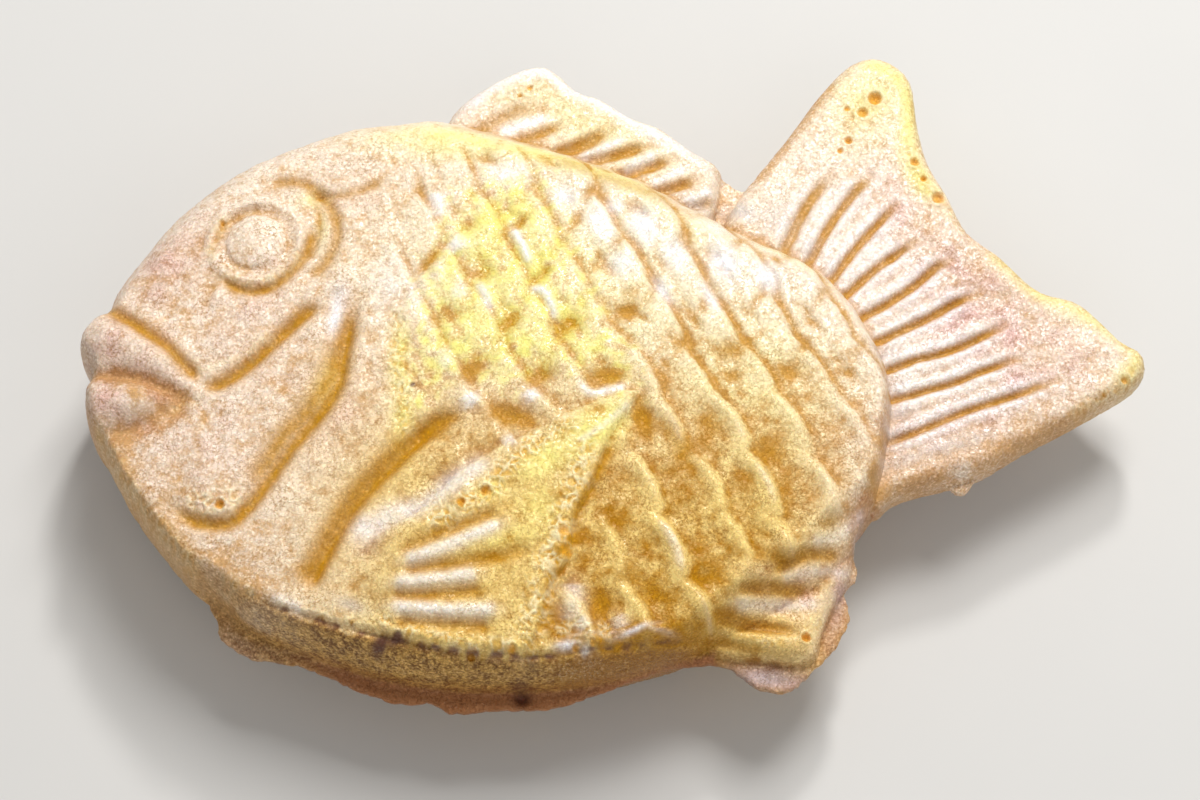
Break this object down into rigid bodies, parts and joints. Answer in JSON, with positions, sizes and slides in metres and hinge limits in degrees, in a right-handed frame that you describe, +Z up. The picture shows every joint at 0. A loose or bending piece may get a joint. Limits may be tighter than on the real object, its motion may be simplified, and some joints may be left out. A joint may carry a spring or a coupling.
{
  "type": "fish-shaped filled cake",
  "caption": "Fish-shaped baked cake with a custard filling, lying on its side: pressed eye, lips, gills, scales and fins, with a thin flash of batter round its seam.",
  "frame": {"origin": "below the middle of the cake's plan, on the surface that it rests on", "axes": "+X from head to tail, +Y toward the back fin, +Z up out of the shown face"},
  "size_m": [0.1506, 0.0985, 0.0311],
  "materials": {
    "browned_crust": "baked batter crust: pale golden ridges, amber grooves, soft oily sheen"
  },
  "bodies": {
    "root": {"taiyaki": "browned_crust"}
  },
  "joints": []
}
